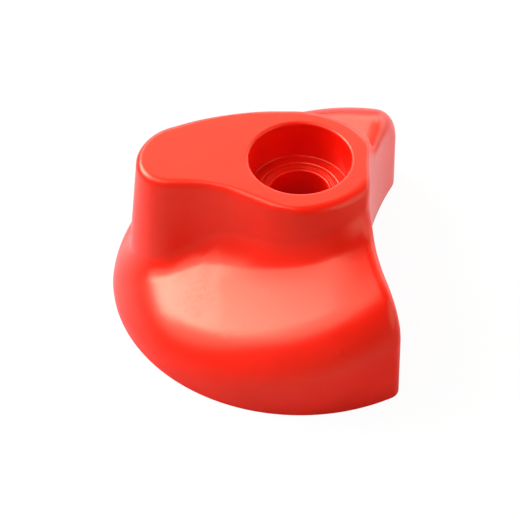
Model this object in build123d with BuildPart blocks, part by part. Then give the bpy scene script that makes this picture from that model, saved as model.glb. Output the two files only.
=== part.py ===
from build123d import *
from math import radians, tan
import os

os.makedirs("parts", exist_ok=True)

# Overall sizes, millimetres
skirt_radius = 36.0
height = 31.0

# Fixing hole for an M10 cap screw, down the middle of the round skirt
bolt_hole_diameter = 11.0
head_recess_diameter = 19.0
head_recess_depth = 8.3

# Skirt: a low drum whose top, the finger ledge, slopes down to the left and a little to the back
crown_rise = 14.0
ledge_height = height - crown_rise
ledge_slope_left = 0.32
ledge_slope_back = 0.05
skirt_draft = 2.0

# Near the front the ledge tips further down, from a soft crease across the skirt
tip_slope = 0.24
tip_reach = 17.0
tip_start = skirt_radius - tip_reach
tip_round = 30.0

# Crown at its top: a comma with a hub round the hole and a lobe that stops short of the skirt
hub_right = 14.0
hub_rear = 13.5
hub_front = 14.2
back_corner = 13.3
waist_right = 2.9
lobe_length = 14.5
lobe_setback = 5.8
lobe_rear = 6.4
lobe_front = 7.0

# What the roundings leave straight of the hub's and the lobe's ends, and take up of two other sides
hub_straight = 0.06
lobe_straight = 0.06
back_share = 0.50
waist_share = 0.25

# How far the crown's sides lean out between its top and the base plane
lobe_draft = 2.9
waist_draft = 4.0
front_draft = 5.2
rear_draft = 5.2
flare_setback = 1.0

# Concave side, an upright round cut
scoop_radius = 62.5
scoop_bite = 1.25
scoop_x = hub_right - scoop_bite
scoop_y = -3.1

# Softened edges
rim_round = ledge_height / 2
foot_round = 4.0
rear_ridge_round = 5.0
ridge_round = 2.4
crown_round = 1.2
mouth_bevel = 0.4

# Hollow underside
wall = 3.0
roof = 3.2
rib = 2.0
rib_angles = (90, 150, 210, 270)


def crown_outline(level, lean, inset=0):
    """The comma at one height: lean shares out the drafts, inset leaves room for the wall."""
    lobe_reach = skirt_radius - lobe_setback
    top = [
        Vector(hub_right, hub_rear),
        Vector(-back_corner, hub_rear),
        Vector(-lobe_reach, lobe_rear),
        Vector(-lobe_reach, -lobe_front),
        Vector(lobe_length - lobe_reach, -lobe_front),
        Vector(-waist_right, -hub_front),
        Vector(hub_right, -hub_front),
    ]
    flare = skirt_radius - flare_setback - hub_right
    drafts = [rear_draft, lobe_draft, lobe_draft, lobe_draft, waist_draft, front_draft, flare]
    moves = [draft * lean - inset for draft in drafts]
    ways = [(after - here).normalized() for here, after in zip(top, top[1:] + top[:1])]

    # Side n runs from corner n, and a corner moves with the two sides that meet there
    corners = [
        here - (ways[n] * moves[n - 1] - ways[n - 1] * moves[n]) / ways[n - 1].cross(ways[n]).Z
        for n, here in enumerate(top)
    ]
    lengths = [(after - here).length for here, after in zip(corners, corners[1:] + corners[:1])]
    right, back, end, waist, front = lengths[6], lengths[1], lengths[2], lengths[4], lengths[5]
    hub_start = right * (1 - hub_straight) / 2
    lobe_start = end * (1 - lobe_straight) / 2
    back_start = back * back_share
    waist_start = min(waist * waist_share, (front - hub_start) * (1 - hub_straight))
    starts = [hub_start, back_start, lobe_start, lobe_start, waist_start, waist_start, hub_start]
    turns = [radians(ways[n - 1].get_angle(ways[n])) for n in range(len(top))]
    radii = [start / tan(turn / 2) for start, turn in zip(starts, turns)]
    with BuildSketch(Plane.XY.offset(level)) as outline:
        with BuildLine():
            FilletPolyline(*corners, radius=radii, close=True)
        make_face()
    return outline.sketch


ledge = Plane(origin=(0, 0, ledge_height), z_dir=(-ledge_slope_left, ledge_slope_back, 1))
front_ledge = Plane(
    origin=(0, -tip_start, ledge_height + ledge_slope_back * tip_start),
    z_dir=(-ledge_slope_left, ledge_slope_back - tip_slope, 1),
)

with BuildPart() as skirt:
    with BuildSketch():
        Circle(skirt_radius)
    extrude(amount=2 * height, taper=skirt_draft)
    split(bisect_by=ledge, keep=Keep.BOTTOM)
    split(bisect_by=front_ledge, keep=Keep.BOTTOM)
    fillet(skirt.edges().filter_by(GeomType.LINE).sort_by(Axis.Z)[-1], radius=tip_round)
    fillet(skirt.edges().filter_by(GeomType.LINE, reverse=True).sort_by(Axis.Z)[1:], radius=rim_round)

with BuildPart() as crown:
    loft([crown_outline(0, 1), crown_outline(height, 0)], ruled=True)

with BuildPart() as scoop:
    with BuildSketch():
        with Locations((scoop_x + scoop_radius, scoop_y)):
            Circle(scoop_radius)
    extrude(amount=height)

# The hollow keeps one wall inside the skirt and the concave side, and rises into the lobe
with BuildPart() as skirt_core:
    with BuildSketch():
        Circle(skirt_radius - wall)
    extrude(amount=2 * height, taper=skirt_draft)
    split(bisect_by=ledge.offset(-roof), keep=Keep.BOTTOM)
    split(bisect_by=front_ledge.offset(-roof), keep=Keep.BOTTOM)

with BuildPart() as lobe_core:
    loft([crown_outline(0, 1, wall), crown_outline(height - roof, roof / height, wall)], ruled=True)
    split(bisect_by=Plane.YZ, keep=Keep.BOTTOM)

with BuildPart() as hollow:
    add(skirt_core.part)
    add(lobe_core.part)
    with BuildSketch():
        with Locations((scoop_x + scoop_radius, scoop_y)):
            Circle(scoop_radius + wall)
    extrude(amount=height, mode=Mode.SUBTRACT)

# What stands in the hollow: a sleeve round the screw, tied into the concave side, and the ribs
with BuildPart() as stiffening:
    with BuildSketch():
        Circle(bolt_hole_diameter / 2 + wall)
        Rectangle(scoop_x, bolt_hole_diameter + 2 * wall, align=(Align.MIN, Align.CENTER))
        for facing in rib_angles:
            with Locations(Location((0, 0, 0), (0, 0, facing))):
                Rectangle(skirt_radius, rib, align=(Align.MIN, Align.CENTER))
    extrude(amount=height)
    with BuildSketch(Plane.XY.offset(height - head_recess_depth - roof)):
        Circle(head_recess_diameter / 2 + wall)
    extrude(amount=head_recess_depth + roof)

with BuildPart() as knob:
    add(skirt.part)
    add(crown.part)
    fillet(knob.edges(Select.NEW), radius=foot_round)
    add(scoop.part, mode=Mode.SUBTRACT)

    # Rim of the concave side: the rear corner with its ridge is the softer one
    concave_side = knob.faces().filter_by(GeomType.CYLINDER).sort_by(SortBy.AREA)[-1]
    fillet(concave_side.edges().sort_by(Axis.Y)[-1], radius=rear_ridge_round)
    concave_side = knob.faces().filter_by(GeomType.CYLINDER).sort_by(SortBy.AREA)[-1]
    base_edges = knob.edges().group_by(Axis.Z)[0]
    crown_edges = knob.faces().sort_by(Axis.Z)[-1].edges()
    fillet(concave_side.edges() - base_edges - crown_edges, radius=ridge_round)
    fillet(knob.faces().sort_by(Axis.Z)[-1].edges(), radius=crown_round)

    add(hollow.part - stiffening.part, mode=Mode.SUBTRACT)
    with Locations((0, 0, height)):
        CounterBoreHole(bolt_hole_diameter / 2, head_recess_diameter / 2, head_recess_depth)
    chamfer(knob.faces().sort_by(Axis.Z)[-1].inner_wires().edges(), length=mouth_bevel)

knob.part.label = "knob_body"
export_step(knob.part, "parts/knob_body.step")
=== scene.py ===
"""Red moulded knob: its looks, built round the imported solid.

The outside is one numpy surface, the recess and bore are one turned profile, and the
moulded hollow is a merged copy of the solid's own underside.
"""

from functools import reduce

import bpy
import numpy as np
from bpy.props import FloatProperty, FloatVectorProperty, IntProperty, PointerProperty
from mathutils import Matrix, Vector


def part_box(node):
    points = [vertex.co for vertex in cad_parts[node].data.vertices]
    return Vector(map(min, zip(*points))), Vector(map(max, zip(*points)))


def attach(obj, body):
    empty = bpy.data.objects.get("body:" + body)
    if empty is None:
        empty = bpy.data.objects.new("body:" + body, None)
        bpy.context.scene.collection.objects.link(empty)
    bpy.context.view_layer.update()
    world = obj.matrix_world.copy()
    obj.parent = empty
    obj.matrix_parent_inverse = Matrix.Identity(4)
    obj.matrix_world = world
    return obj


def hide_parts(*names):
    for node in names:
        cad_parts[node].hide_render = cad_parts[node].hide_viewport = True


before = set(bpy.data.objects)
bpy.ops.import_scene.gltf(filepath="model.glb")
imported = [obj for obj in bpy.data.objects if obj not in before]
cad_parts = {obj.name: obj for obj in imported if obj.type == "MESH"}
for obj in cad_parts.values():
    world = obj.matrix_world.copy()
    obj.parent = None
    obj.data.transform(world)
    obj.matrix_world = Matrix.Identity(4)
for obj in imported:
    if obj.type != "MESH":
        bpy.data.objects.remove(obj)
SOLID = "knob_body"
LOWEST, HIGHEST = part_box(SOLID)
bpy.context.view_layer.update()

bl_info = {
    "name": "Moulded Knob",
    "version": (1, 0, 0),
    "blender": (4, 5, 0),
    "location": "View3D > Sidebar > Knob",
    "description": "Builds a red moulded knob with a comma-shaped crown over a sloping skirt",
    "category": "Add Mesh",
}

# Marks on the plastic: where they lie, and how large each scuff is
RUBBED_PATCH = (-0.0185, -0.0171, 0.0126)
SCUFFS = (
    ((-0.0139, -0.0266, 0.0120), 0.0010),
    ((-0.0188, -0.0216, 0.0115), 0.0007),
    ((-0.0063, -0.0202, 0.0162), 0.0008),
)
NIB = (0.0070, -0.0333, 0.0141)

# Turns along a quarter circle of a profile
QUARTER = np.linspace(0, np.pi / 2, 9)

# A point lower than this lies on the base plane
ON_BASE = 1e-6


# Sizes and colours


class KnobShape(bpy.types.PropertyGroup):
    skirt_radius: FloatProperty(
        name="Skirt radius", description="Radius of the round skirt where it stands",
        default=(HIGHEST.y - LOWEST.y) / 2, unit="LENGTH",
    )
    height: FloatProperty(
        name="Height", description="Height of the flat crown above the base",
        default=HIGHEST.z, unit="LENGTH",
    )
    ledge_height: FloatProperty(
        name="Ledge height", description="Height of the finger ledge on the axis of the hole",
        default=0.017, unit="LENGTH",
    )
    ledge_slope: FloatVectorProperty(
        name="Ledge slope", description="Rise of the ledge towards the right and towards the front",
        default=(0.32, 0.05), size=2,
    )
    ledge_tip: FloatProperty(
        name="Ledge tip", description="Extra slope of the front ledge, down towards the front rim",
        default=0.24,
    )
    skirt_draft: FloatProperty(
        name="Skirt draft", description="Lean of the skirt's wall",
        default=np.radians(2.0), subtype="ANGLE",
    )
    rim_round: FloatVectorProperty(
        name="Rim rounding",
        description="Rounding of the skirt's rim: usual, more at the right, more at the rear",
        default=(0.0082, 0.0017, 0.0008), size=3, unit="LENGTH",
    )
    foot_round: FloatVectorProperty(
        name="Foot rounding",
        description="Rounding where the crown stands on the ledge: under the lobe, under the hub",
        default=(0.0034, 0.0025), size=2, unit="LENGTH",
    )
    waist_swell: FloatVectorProperty(
        name="Waist swell",
        description="How far the ledge swells up at the foot of the waist, and how far it spreads",
        default=(0.0030, 0.006), size=2, unit="LENGTH",
    )
    crown_edge: FloatProperty(
        name="Crown edge", description="Rounding of the crown's upper edge",
        default=0.00125, unit="LENGTH",
    )
    ridge_round: FloatVectorProperty(
        name="Ridge rounding",
        description="Rounding along the concave side: front, rear, and at the crown",
        default=(0.0024, 0.005, 0.001), size=3, unit="LENGTH",
    )
    scoop: FloatVectorProperty(
        name="Concave side",
        description="Radius of the concave side and the place of its deepest point",
        default=(0.0625, 0.01275, -0.0031), size=3, unit="LENGTH",
    )
    hub: FloatVectorProperty(
        name="Hub", description="Reach of the crown round the hole: right, rear, front",
        default=(0.014, 0.0135, 0.0142), size=3, unit="LENGTH",
    )
    lobe: FloatVectorProperty(
        name="Lobe", description="Reach of the crown's lobe: left, rear, front",
        default=(0.0302, 0.0064, 0.007), size=3, unit="LENGTH",
    )
    waist: FloatVectorProperty(
        name="Waist",
        description="Where the waist starts and ends, and the corner of the back, left of the hole",
        default=(0.0029, 0.0157, 0.0133), size=3, unit="LENGTH",
    )
    recess_radius: FloatProperty(
        name="Recess radius", description="Radius of the recess for the screw's head",
        default=0.0095, unit="LENGTH",
    )
    recess_depth: FloatProperty(
        name="Recess depth", description="Depth of the recess below the crown",
        default=0.0083, unit="LENGTH",
    )
    bore_radius: FloatProperty(
        name="Bore radius", description="Radius of the hole for the screw",
        default=0.0055, unit="LENGTH",
    )
    lip_round: FloatProperty(
        name="Lip rounding", description="Rounding of the recess's mouth",
        default=0.0006, unit="LENGTH",
    )
    columns: IntProperty(
        name="Columns", description="Columns of the skin, round the knob", default=448,
    )
    rows: IntProperty(
        name="Rows", description="Rows of the skin, from the mouth to the base", default=216,
    )


class KnobFinish(bpy.types.PropertyGroup):
    red: FloatVectorProperty(
        name="Red", description="Colour of the plastic", subtype="COLOR", size=4,
        default=(0.75, 0.006, 0.0012, 1.0),
    )
    scuff: FloatVectorProperty(
        name="Scuff", description="Colour of the dull specks and scuffs", subtype="COLOR", size=4,
        default=(0.52, 0.035, 0.022, 1.0),
    )
    sheen: FloatVectorProperty(
        name="Sheen", description="Colour of the plastic's reflections", subtype="COLOR", size=4,
        default=(1.0, 0.84, 0.56, 1.0),
    )
    roughness: FloatProperty(
        name="Roughness", description="Roughness of the moulded surface",
        default=0.32, subtype="FACTOR",
    )
    grain: FloatProperty(
        name="Grain", description="Size of the fine mould grain", default=0.00045, unit="LENGTH",
    )


class KnobStudio(bpy.types.PropertyGroup):
    target: FloatVectorProperty(
        name="Target", description="Middle of the recess's mouth, which the camera is placed from",
        default=(0.0, 0.0, HIGHEST.z), size=3, unit="LENGTH",
    )
    pitch: FloatProperty(
        name="Pitch", description="How far the camera looks down",
        default=np.radians(45.5), subtype="ANGLE",
    )
    distance: FloatProperty(
        name="Distance", description="Distance of the camera's plane from the target",
        default=0.40615, unit="LENGTH",
    )
    offset: FloatVectorProperty(
        name="Offset", description="Place of the target in the frame, right of and above its middle",
        default=(0.0073846, 0.0189415), size=2, unit="LENGTH",
    )
    lens: FloatProperty(
        name="Lens", description="Focal length in millimetres", default=152.31,
    )
    sky: FloatProperty(
        name="Room light", description="Strength of the pale room near the horizon", default=0.24,
    )
    ceiling: FloatProperty(
        name="Ceiling light", description="Strength of the room overhead", default=0.12,
    )
    floor: FloatVectorProperty(
        name="Floor", description="Colour of the floor", subtype="COLOR", size=4,
        default=(0.80, 0.80, 0.80, 1.0),
    )
    warm: FloatVectorProperty(
        name="Warm light", description="Colour of the room's light and of the lamp behind the knob",
        subtype="COLOR", size=3, default=(1.0, 0.88, 0.62),
    )


# Material


class Sum:
    """A shader value that sums are written with: each operator adds its Math node."""

    def __init__(self, mixture, socket):
        self.mixture, self.socket = mixture, socket

    def maths(self, operation, *values):
        settings = {"operation": operation}
        return self.mixture.value(self.mixture.node("ShaderNodeMath", settings, dict(enumerate(values))))

    def __add__(self, other):
        return self.maths("ADD", self, other)

    def __radd__(self, other):
        return self.maths("ADD", other, self)

    def __sub__(self, other):
        return self.maths("SUBTRACT", self, other)

    def __rsub__(self, other):
        return self.maths("SUBTRACT", other, self)

    def __mul__(self, other):
        return self.maths("MULTIPLY", self, other)

    def __rmul__(self, other):
        return self.maths("MULTIPLY", other, self)

    def most(self, other):
        return self.maths("MAXIMUM", self, other)

    def ramp(self, low, high, to_low=0.0, to_high=1.0):
        """A smooth step from one value to another."""
        settings = {"interpolation_type": "SMOOTHSTEP"}
        values = {0: self, 1: low, 2: high, 3: to_low, 4: to_high}
        return self.mixture.value(self.mixture.node("ShaderNodeMapRange", settings, values))


class Mixture:
    """One material's or the room's nodes."""

    def __init__(self, owner):
        owner.use_nodes = True
        self.tree = owner.node_tree
        self.tree.nodes.clear()

    def node(self, kind, settings=None, values=None):
        """Adds a node: its settings first, then the values or links of its sockets."""
        made = self.tree.nodes.new(kind)
        for name, value in (settings or {}).items():
            setattr(made, name, value)
        for name, value in (values or {}).items():
            value = value.socket if isinstance(value, Sum) else value
            if isinstance(value, bpy.types.NodeSocket):
                self.tree.links.new(value, made.inputs[name])
            else:
                made.inputs[name].default_value = value
        return made

    def value(self, made, output=0):
        return Sum(self, made.outputs[output])

    def place(self):
        """Where a point of the surface is, in metres."""
        return self.node("ShaderNodeTexCoord").outputs["Object"]

    def noise(self, place, size, detail=2.0, roughness=0.5):
        """Smooth noise whose lumps are about the given size."""
        values = {"Vector": place, "Scale": 1.0 / size, "Detail": detail, "Roughness": roughness}
        return self.value(self.node("ShaderNodeTexNoise", {"noise_dimensions": "3D"}, values))

    def near(self, place, spot, full, gone):
        """1 up to one distance from a spot, and smoothly down to 0 at another."""
        made = self.node("ShaderNodeVectorMath", {"operation": "DISTANCE"}, {0: place, 1: spot})
        return self.value(made, "Value").ramp(full, gone, to_low=1.0, to_high=0.0)

    def blend(self, share, first, second):
        """Colour between two colours."""
        values = {0: share, 6: first, 7: second}
        return self.node("ShaderNodeMix", {"data_type": "RGBA"}, values).outputs[2]


def red_plastic():
    """The knob's plastic: a clean saturated red, semi-gloss, with fine mould grain and a few dull
    specks, a rubbed patch with small pits and three small scuffs on the ledge, and the nib that
    the mould leaves on the front."""
    made = bpy.data.materials.get("red_plastic_gloss")
    if made:
        return made
    finish = bpy.context.scene.knob_finish
    made = bpy.data.materials.new("red_plastic_gloss")
    mix = Mixture(made)
    place = mix.place()

    cloud = mix.noise(place, size=0.011, detail=3.0)
    grain = mix.noise(place, size=finish.grain)
    peel = mix.noise(place, size=0.0035, detail=1.0)
    patchy = mix.noise(place, size=0.006).ramp(0.5, 0.68)
    specks = mix.noise(place, size=0.0009, roughness=0.6).ramp(0.66, 0.74) * patchy
    rubbed = mix.near(place, RUBBED_PATCH, full=0.0010, gone=0.0075)
    pits = mix.noise(place, size=0.0004, roughness=0.6).ramp(0.5, 0.62) * rubbed
    scuffs = [mix.near(place, spot, full=size * 0.4, gone=size * 1.5) for spot, size in SCUFFS]
    scratches = mix.noise(place, size=0.0007, detail=3.0, roughness=0.7).ramp(0.42, 0.6)
    worn = reduce(Sum.most, scuffs) * scratches
    dull = (specks * 0.5).most(worn * 0.75).most(pits * 0.2)

    nib = mix.near(place, NIB, full=0.0, gone=0.0008)
    height = grain * 0.10 + peel * 0.5 - specks * 0.25 - pits * 0.45 + nib * 4.0
    bump = mix.node("ShaderNodeBump", None, {"Strength": 0.35, "Distance": 0.0001, "Height": height})

    deeper = tuple(part * 0.93 for part in finish.red[:3]) + (1.0,)
    colour = mix.blend(cloud.ramp(0.35, 0.65), deeper, tuple(finish.red))
    colour = mix.blend(dull, colour, tuple(finish.scuff))
    roughness = finish.roughness + (cloud - 0.5) * 0.08 + (grain - 0.5) * 0.10 + dull * 0.15

    plastic = mix.node(
        "ShaderNodeBsdfPrincipled", None,
        {
            "Base Color": colour, "Roughness": roughness, "IOR": 1.5,
            "Specular Tint": tuple(finish.sheen), "Normal": bump.outputs[0],
        },
    )
    mix.node("ShaderNodeOutputMaterial", None, {"Surface": plastic.outputs[0]})
    return made


# Surfaces


def join_round(first, second, radius):
    """Inside of both shapes, with a quarter round of the given radius where they meet:
    the larger distance, but within one radius of the edge the length of the two together."""
    corner = np.hypot(np.maximum(first + radius, 0), np.maximum(second + radius, 0))
    return np.minimum(np.maximum(first, second), -radius) + corner


def add_round(first, second, radius):
    """Inside of either shape, with a hollow rounding where they meet."""
    return -join_round(-first, -second, radius)


def ease(bounds, value):
    """Smooth step, 0 up to the low bound and 1 from the high one: between them, three times the
    square of the share less twice its cube."""
    low, high = bounds
    share = np.clip((value - low) / (high - low), 0, 1)
    return share * share * (3 - 2 * share)


def change(first, second, bounds, value):
    """From the first size to the second by a smooth step."""
    return first + (second - first) * ease(bounds, value)


def crown_side(x, y, fall, start, end, lean, height):
    """Distance outside one side of the crown: a plane through the side's line at the crown's
    top, leaning out by its draft over the knob's height."""
    run = np.subtract(end, start)
    out = np.array([run[1], -run[0]]) / np.hypot(*run)
    distance = x * out[0] + y * out[1] - out @ np.asarray(start) - lean * fall
    return distance / np.hypot(1, lean / height)


def crown_sides(x, y, z, shape):
    """Distance outside the comma. Its right, rear, back and end sides are joined by roundings,
    and so are its waist and front, with the lobe's side added by a hollow rounding. Then the two
    are joined. Each rounding takes up a share of a side's length."""
    height = shape.height
    fall = (height - z) / height
    right, rear, front = shape.hub
    reach, lobe_rear, lobe_front = shape.lobe
    waist_right, waist_left, back = shape.waist

    # Where each side starts at the crown's top, and how far it leans out from there to the base
    outline = {
        "rear": ((right, rear), 0.0052),
        "back": ((-back, rear), 0.0029),
        "end": ((-reach, lobe_rear), 0.0029),
        "lobe": ((-reach, -lobe_front), 0.0029),
        "waist": ((-waist_left, -lobe_front), 0.0040),
        "front": ((-waist_right, -front), 0.0052),
        "right": ((right, -front), 0.0210),
    }
    starts = [start for start, _ in outline.values()]
    side, length = {}, {}
    for (name, (start, lean)), end in zip(outline.items(), starts[1:] + starts[:1]):
        side[name] = crown_side(x, y, fall, start, end, lean, height)
        length[name] = np.hypot(*np.subtract(end, start))

    def taken(name, share, longer):
        """Length that a rounding takes up of a side, which is longer by so much at the base."""
        return share * (length[name] + longer * fall)

    hub = taken("right", share=0.47, longer=0.0104)
    middle = taken("back", share=0.50, longer=0.0085)
    tip = taken("end", share=0.47, longer=0.0048)
    waist = taken("waist", share=0.25, longer=0.0046)
    back_turn = np.arctan2(rear - lobe_rear, reach - back)
    waist_turn = np.arctan2(front - lobe_front, waist_left - waist_right)

    upper = join_round(side["right"], side["rear"], hub)
    upper = join_round(upper, side["back"], middle * np.sin(back_turn))
    upper = join_round(upper, side["end"], tip * np.cos(back_turn))
    lower = join_round(side["waist"], side["front"], waist * np.sin(waist_turn))
    lower = add_round(lower, side["lobe"], waist * np.sin(waist_turn))
    end_to_hub = (-0.014, 0.0)
    return join_round(upper, lower, change(tip, hub, end_to_hub, x))


def ledge_distance(x, y, z, sides, shape):
    """Distance above the finger ledge, a plane with two slopes. Its front tips further down about
    a line across the knob, by an extra slope that fades in from the axis and from the left. Round
    the foot of the waist it swells up, and the swell dies away exponentially with the distance
    outside the crown's sides."""
    tip_line = 0.019
    tip_ahead, tip_right = (0.002, 0.011), (-0.036, -0.020)
    swell_ahead, swell_right, swell_left = (0.004, 0.010), (-0.024, -0.014), (-0.020, -0.005)
    slope_right, slope_front = shape.ledge_slope
    swell, spread = shape.waist_swell

    tip = shape.ledge_tip * (-y - tip_line) * ease(tip_ahead, -y) * ease(tip_right, x)
    swelling = swell * np.exp(-np.maximum(sides, 0) / spread) * (
        ease(swell_right, x) * ease(swell_left, -x) * ease(swell_ahead, -y)
    )
    rise = z - (shape.ledge_height + slope_right * x - slope_front * y - (tip - swelling))
    return rise / np.sqrt(1 + slope_right**2 + slope_front**2)


def knob_distance(x, y, z, shape):
    """Below nothing inside the knob, above nothing outside: the skirt's wall and the sloping
    ledge joined by the rim's rounding, the crown added with its foot, the concave side cut."""
    near_axis = 0.001
    lobe_to_hub, front_to_rear, wall_to_crown = (-0.022, 0.004), (0.012, 0.030), (0.025, 0.0305)
    out = np.hypot(x, y)
    sides = crown_sides(x, y, z, shape)
    wall = out - (shape.skirt_radius - z * np.tan(shape.skirt_draft))
    ledge = ledge_distance(x, y, z, sides, shape)
    usual, more_right, more_rear = shape.rim_round
    rim = usual + (more_right * x + more_rear * y) / np.maximum(out, near_axis)
    skirt = join_round(wall, ledge, rim)

    crown = join_round(sides, z - shape.height, shape.crown_edge)
    under_lobe, under_hub = shape.foot_round
    body = add_round(skirt, crown, change(under_lobe, under_hub, lobe_to_hub, x))

    radius, deepest_x, deepest_y = shape.scoop
    concave = radius - np.hypot(x - deepest_x - radius, y - deepest_y)
    front, rear, at_crown = shape.ridge_round
    ridge = change(front, rear, front_to_rear, y)
    return join_round(body, concave, change(ridge, at_crown, wall_to_crown, z))


def cast(turn, rise, shape):
    """Points of the skin: on the ray from the middle of the base at each turn and rise, where
    the distance changes sign, found by halving."""
    nearest, farthest, halvings = 0.003, 0.060, 30
    level = np.cos(rise)
    way = np.cos(turn) * level, np.sin(turn) * level, np.sin(rise) + 0 * turn
    low = np.full(np.broadcast(turn, rise).shape, nearest)
    high = np.full_like(low, farthest)
    for _ in range(halvings):
        middle = (low + high) / 2
        inside = knob_distance(*(part * middle for part in way), shape) < 0
        low, high = np.where(inside, middle, low), np.where(inside, high, middle)
    return np.stack([part * low for part in way], axis=-1)


def skin_turns(shape):
    """Turns of the skin's columns, spaced by the length of the skirt's outline, which crowds them
    at the two sharp corners of the concave side, and in a smaller share by the turn alone."""
    steps, rise, even_share = 6000, 0.1, 0.35
    turn = np.linspace(-np.pi, np.pi, steps + 1)
    outline = cast(turn, np.full_like(turn, rise), shape)[:, :2]
    run = np.hypot(*np.diff(outline, axis=0).T)
    run = run / run.sum() + even_share / steps
    along = np.concatenate([[0], np.cumsum(run)]) / run.sum()
    return np.interp(np.arange(shape.columns) / shape.columns, along, turn)


def skin_points(shape):
    """The outside as rows of rays: from the recess's mouth over the crown, ledge and rim, down
    to the base plane."""
    mouth = shape.recess_radius + shape.lip_round
    rises = np.linspace(np.arctan(shape.height / mouth), 0, shape.rows)
    return cast(*np.meshgrid(skin_turns(shape), rises), shape)


def edge_arc(radius, height, size):
    """Radii and heights of a quarter circle over a hole's edge, from the flat into the hole."""
    radii = radius + size - size * np.sin(QUARTER)
    return np.stack([radii, height - size + size * np.cos(QUARTER)], axis=-1)


def corner_arc(radius, height, size):
    """Radii and heights of a quarter circle at a wall's foot, from the wall to the floor."""
    radii = radius - size + size * np.cos(QUARTER)
    return np.stack([radii, height + size - size * np.sin(QUARTER)], axis=-1)


def recess_profile(shape):
    """Radii and heights from the recess's mouth to the foot of the bore: quarter circles at the
    edges and in the corner, and between them the recess's floor, sunk by a step in its middle,
    with fine rings round the bore, which are a sine of the radius."""
    corner_round, bore_round = 0.0003, 0.0004
    step, step_at = 0.00012, (0.0074, 0.0077)
    ring_height, ring_width, rings_end = 0.00003, 0.0004, 0.0069
    outer, inner = shape.recess_radius - 0.0004, shape.bore_radius + 0.0006
    floor = shape.height - shape.recess_depth
    bore_top = floor - 0.0008

    mouth = edge_arc(shape.recess_radius, shape.height, shape.lip_round)
    corner = corner_arc(shape.recess_radius, floor, corner_round)
    across = np.linspace(outer, inner, 60)
    rings = ring_height * np.sin((across - shape.bore_radius) * 2 * np.pi / ring_width)
    levels = floor - step + step * ease(step_at, across) + rings * (across < rings_end)
    edge = edge_arc(shape.bore_radius, floor - step, bore_round)
    down = np.linspace(bore_top, 0, 40)
    bore = np.stack([np.full_like(down, shape.bore_radius), down], axis=-1)
    return np.concatenate([mouth, corner, np.stack([across, levels], axis=-1), edge, bore])


def turned_points(profile, columns):
    """A profile of radii and heights carried round the hole's axis."""
    turn = np.linspace(0, 2 * np.pi, columns, endpoint=False)
    radius, height = profile.T[:, :, None]
    return np.stack([radius * np.cos(turn), radius * np.sin(turn), height + 0 * turn], axis=-1)


def solid_mesh():
    """The solid's points and triangles: its doubled points are merged, and triangles that this
    leaves with fewer than three corners are dropped."""
    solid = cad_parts[SOLID].data
    solid.calc_loop_triangles()
    points = np.zeros(len(solid.vertices) * 3, np.float32)
    solid.vertices.foreach_get("co", points)
    faces = np.zeros(len(solid.loop_triangles) * 3, np.int32)
    solid.loop_triangles.foreach_get("vertices", faces)

    points = points.reshape(-1, 3).astype(float)
    rounded = np.round(points, decimals=7)
    _, first, merged = np.unique(rounded, axis=0, return_index=True, return_inverse=True)
    faces = merged.reshape(-1)[faces].reshape(-1, 3)
    return points[first], faces[(faces != np.roll(faces, 1, 1)).all(axis=1)]


def underside(points, faces, shape):
    """The solid's base and hollow: its triangles on the base plane, and those well inside the
    skin that line neither the bore nor the recess."""
    well_inside, beside_wall, under_floor = 0.0012, 0.0002, 0.0005
    middles = points[faces].mean(axis=1)
    out = np.hypot(middles[:, 0], middles[:, 1])
    floor = shape.height - shape.recess_depth
    bore = out < shape.bore_radius + beside_wall
    recess = (out < shape.recess_radius + beside_wall) & (middles[:, 2] > floor - under_floor)
    hollow = (knob_distance(*middles.T, shape) < -well_inside) & ~(bore | recess)
    base = middles[:, 2] < ON_BASE
    used, faces = np.unique(faces[hollow | base], return_inverse=True)
    return points[used], faces.reshape(-1, 3)


# Pieces


def new_piece(name, points, faces):
    """An object at the origin with the given points and faces, shaded smooth."""
    mesh = bpy.data.meshes.new(name)
    mesh.from_pydata(points, [], faces)
    mesh.shade_smooth()
    piece = bpy.data.objects.new(name, mesh)
    bpy.context.scene.collection.objects.link(piece)
    return piece


def new_band(name, points):
    """A piece of four-sided faces over rows of points that close round the knob, outside first."""
    rows, columns, _ = points.shape
    number = np.arange(rows * columns).reshape(rows, columns)
    here, below = number[:-1], number[1:]
    faces = np.stack([here, below, np.roll(below, -1, 1), np.roll(here, -1, 1)], axis=-1)
    return new_piece(name, points.reshape(-1, 3), faces.reshape(-1, 4))


def dress(piece):
    """Gives a piece the knob's plastic and ties it to the knob's body in place of the solid."""
    piece.data.materials.append(red_plastic())
    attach(piece, "root")
    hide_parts(SOLID)


class KNOB_OT_skin(bpy.types.Operator):
    """Builds the knob's outside: crown, ledge, rim, skirt and concave side in one skin"""

    bl_idname = "knob.skin"
    bl_label = "Skin"

    def execute(self, context):
        dress(new_band("knob_skin", skin_points(context.scene.knob_shape)))
        return {"FINISHED"}


class KNOB_OT_recess(bpy.types.Operator):
    """Builds the recess for the screw's head and the bore below it, with their turned rings"""

    bl_idname = "knob.recess"
    bl_label = "Recess and bore"

    def execute(self, context):
        shape = context.scene.knob_shape
        points = turned_points(recess_profile(shape), shape.columns // 2)
        dress(new_band("knob_recess", points))
        return {"FINISHED"}


class KNOB_OT_back(bpy.types.Operator):
    """Builds the underside: a merged copy of the solid's base and moulded hollow"""

    bl_idname = "knob.back"
    bl_label = "Hollow back"

    def execute(self, context):
        shape = context.scene.knob_shape
        points, faces = underside(*solid_mesh(), shape)
        if not len(faces):
            raise RuntimeError("the solid has no underside to copy")

        # The base's outer edge follows the skin
        at_skin = np.abs(knob_distance(*points.T, shape)) < 0.0008
        edge = (points[:, 2] < ON_BASE) & at_skin
        turn = np.arctan2(points[edge, 1], points[edge, 0])
        points[edge] = cast(turn, np.zeros_like(turn), shape)
        piece = new_piece("knob_back", points, faces)
        piece.data.set_sharp_from_angle(angle=np.radians(32))
        dress(piece)
        return {"FINISHED"}


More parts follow.
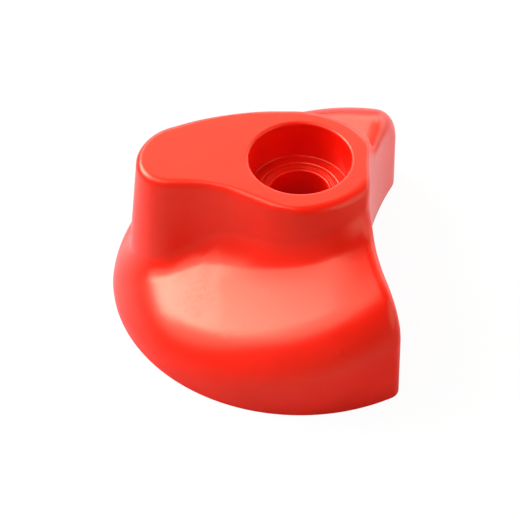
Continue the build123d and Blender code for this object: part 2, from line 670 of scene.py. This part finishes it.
class KNOB_OT_stage(bpy.types.Operator):
    """Sets the pale floor, the soft lamps, the room and the camera"""

    bl_idname = "knob.stage"
    bl_label = "Stage"

    def execute(self, context):
        studio = context.scene.knob_studio
        self.floor(studio)
        self.room(context.scene, studio)
        self.lamp("soft_left_rear", place=(-0.36, 0.20, 0.37), size=(0.34, 0.26), power=4.4)
        self.lamp("soft_left", place=(-0.42, -0.02, 0.31), size=(0.30, 0.30), power=0.9)
        self.lamp("soft_top", place=(-0.19, -0.06, 0.48), size=(0.26, 0.26), power=0.9)
        self.lamp("soft_low_rear", place=(-0.10, 0.66, 0.32), size=(0.80, 0.26), power=2.6)
        self.lamp("soft_rear", place=(0.12, 0.55, 0.52), size=(1.15, 0.55), power=2.4, colour=studio.warm)
        self.lamp("soft_right_rear", place=(0.47, 0.42, 0.15), size=(0.70, 0.28), power=1.6)
        self.lamp("soft_front", place=(-0.20, -0.50, 0.25), size=(0.60, 0.40), power=0.15)
        self.lamp("soft_right_front", place=(0.47, -0.20, 0.27), size=(0.50, 0.40), power=1.15)
        self.camera(context.scene, studio)
        context.scene.view_settings.view_transform = "Standard"
        return {"FINISHED"}

    def seen(self, mix):
        """1 for rays from the camera, and 1 for rays from a glossy surface."""
        path = mix.node("ShaderNodeLightPath")
        return mix.value(path, "Is Camera Ray"), mix.value(path, "Is Glossy Ray")

    def floor(self, studio):
        """A pale floor. The camera sees it nearly white, with the knob's faint shadow, and the
        gloss shows it as white behind the knob and dim in front of it."""
        reach, white_share, dim_share = 1.5, 0.95, 0.1
        corners = [(-reach, -reach, 0), (reach, -reach, 0), (reach, reach, 0), (-reach, reach, 0)]
        mesh = bpy.data.meshes.new("floor")
        mesh.from_pydata(corners, [], [(0, 1, 2, 3)])
        floor = bpy.data.objects.new("floor", mesh)
        bpy.context.scene.collection.objects.link(floor)

        pale = bpy.data.materials.new("pale_floor")
        mix = Mixture(pale)
        camera, glossy = self.seen(mix)
        place = mix.node("ShaderNodeSeparateXYZ", None, {0: mix.place()})
        behind = mix.value(place, "Y").ramp(-0.04, 0.0)
        shown = camera.most(glossy * behind) * white_share
        dim = tuple(part * dim_share for part in studio.floor[:3]) + (1.0,)
        tone = mix.blend(glossy, tuple(studio.floor), dim)
        matt = mix.node("ShaderNodeBsdfDiffuse", None, {"Color": tone})
        white = mix.node("ShaderNodeEmission", None, {"Color": (1, 1, 1, 1), "Strength": 1.0})
        both = mix.node("ShaderNodeMixShader", None, {0: shown, 1: matt.outputs[0], 2: white.outputs[0]})
        mix.node("ShaderNodeOutputMaterial", None, {"Surface": both.outputs[0]})
        mesh.materials.append(pale)

    def room(self, scene, studio):
        """A pale room with warm light: bright at the horizon, dimmer overhead, and plain white to
        the camera."""
        world = bpy.data.worlds.new("pale_room")
        scene.world = world
        mix = Mixture(world)
        camera, _ = self.seen(mix)
        way = mix.node("ShaderNodeTexCoord").outputs["Generated"]
        up = mix.value(mix.node("ShaderNodeSeparateXYZ", None, {0: way}), "Z")
        light = up.ramp(0.15, 0.95, to_low=studio.sky, to_high=studio.ceiling)
        strength = camera + (1.0 - camera) * light
        colour = mix.blend(camera, tuple(studio.warm) + (1.0,), (1, 1, 1, 1))
        shown = mix.node("ShaderNodeBackground", None, {"Color": colour, "Strength": strength})
        mix.node("ShaderNodeOutputWorld", None, {"Surface": shown.outputs[0]})

    def lamp(self, name, place, size, power, colour=(1, 1, 1)):
        """A soft box that faces the middle of the knob."""
        middle = Vector((0, 0, 0.015))
        lamp = bpy.data.lights.new(name, "AREA")
        lamp.shape = "RECTANGLE"
        lamp.size, lamp.size_y = size
        lamp.energy, lamp.color = power, colour
        made = bpy.data.objects.new(name, lamp)
        made.location = place
        made.rotation_euler = (middle - Vector(place)).to_track_quat("-Z", "Y").to_euler()
        bpy.context.scene.collection.objects.link(made)

    def camera(self, scene, studio):
        """The camera looks along +Y and down by its pitch, with the recess's mouth right of and
        above the middle of its square frame."""
        pitch = studio.pitch
        right_by, above_by = studio.offset
        right = Vector((1, 0, 0))
        ahead = Vector((0, np.cos(pitch), -np.sin(pitch)))
        above = Vector((0, np.sin(pitch), np.cos(pitch)))
        lens = bpy.data.cameras.new("camera")
        lens.lens, lens.sensor_width = studio.lens, 36.0
        lens.clip_start, lens.clip_end = 0.02, 20.0
        made = bpy.data.objects.new("camera", lens)
        back = Vector(studio.target) - ahead * studio.distance
        made.location = back - right * right_by - above * above_by
        made.rotation_euler = (np.pi / 2 - pitch, 0, 0)
        scene.collection.objects.link(made)
        scene.camera = made


class KNOB_PT_panel(bpy.types.Panel):
    """Lists the knob's pieces and its stage"""

    bl_idname = "KNOB_PT_panel"
    bl_label = "Moulded Knob"
    bl_space_type = "VIEW_3D"
    bl_region_type = "UI"
    bl_category = "Knob"

    def draw(self, context):
        for operator in OPERATORS:
            self.layout.operator(operator.bl_idname)
        for group in GROUPS:
            box = self.layout.box()
            for name in GROUPS[group].__annotations__:
                box.prop(getattr(context.scene, group), name)


OPERATORS = (KNOB_OT_skin, KNOB_OT_recess, KNOB_OT_back, KNOB_OT_stage)
GROUPS = {"knob_shape": KnobShape, "knob_finish": KnobFinish, "knob_studio": KnobStudio}


def register():
    for group in (*GROUPS.values(), *OPERATORS, KNOB_PT_panel):
        bpy.utils.register_class(group)
    for name, group in GROUPS.items():
        setattr(bpy.types.Scene, name, PointerProperty(type=group))


def unregister():
    for name in GROUPS:
        delattr(bpy.types.Scene, name)
    for group in (KNOB_PT_panel, *OPERATORS, *GROUPS.values()):
        bpy.utils.unregister_class(group)


def main():
    register()
    bpy.ops.knob.skin()
    bpy.ops.knob.recess()
    bpy.ops.knob.back()
    bpy.ops.knob.stage()


if __name__ == "__main__":
    main()
